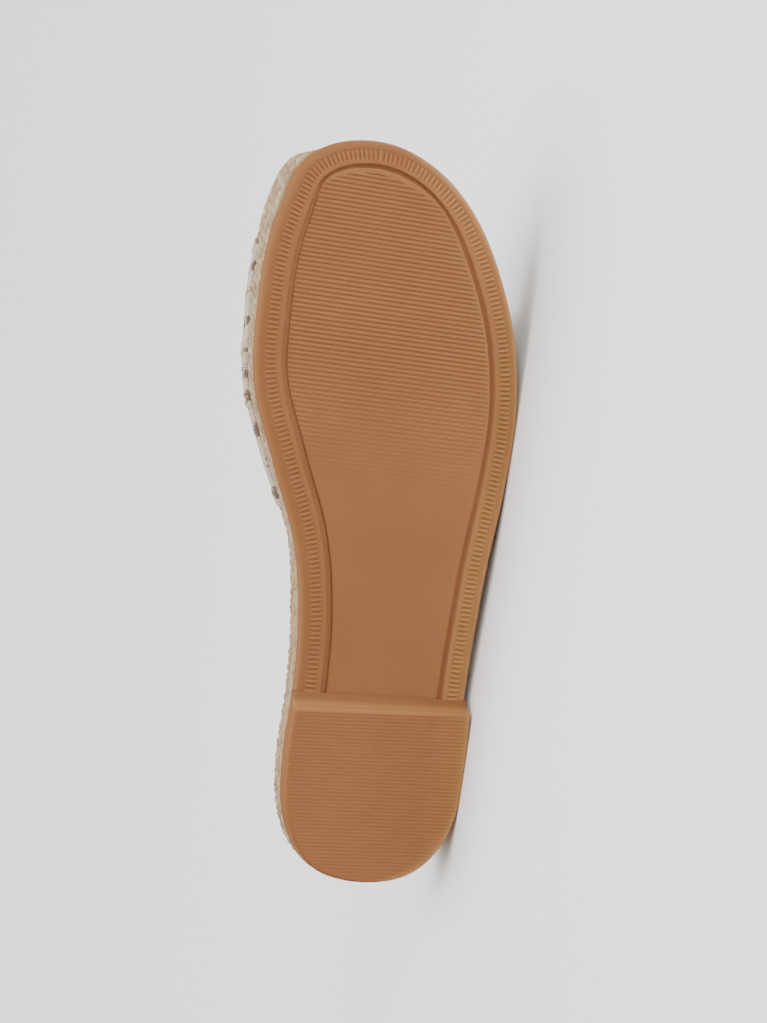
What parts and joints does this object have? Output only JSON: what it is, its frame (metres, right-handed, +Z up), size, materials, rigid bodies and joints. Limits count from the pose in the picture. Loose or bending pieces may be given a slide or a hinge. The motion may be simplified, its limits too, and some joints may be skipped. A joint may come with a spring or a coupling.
{
  "type": "espadrille mule",
  "caption": "Flat espadrille mule for the left foot: gum rubber outsole with heel block, braided jute midsole and a crossed-strap fabric upper, lying on its side.",
  "frame": {"origin": "centre of the box's base: on the floor that the shoe's lateral side lies on", "axes": "+X from heel to toe, level with the floor; +Z up, which is the shoe's medial side; the outsole faces -Y, turned 4.0 degrees towards the floor"},
  "size_m": [0.254, 0.0742, 0.1],
  "materials": {
    "outsole_rubber": "satin gum rubber, fine cross ribs",
    "midsole_jute": "matt braided jute",
    "insole_fabric": "matt woven cover",
    "upper_fabric": "matt woven cloth with taupe animal stripes"
  },
  "bodies": {
    "root": {"outsole": "outsole_rubber", "midsole": "midsole_jute", "insole": "insole_fabric", "upper": "upper_fabric"}
  },
  "joints": []
}
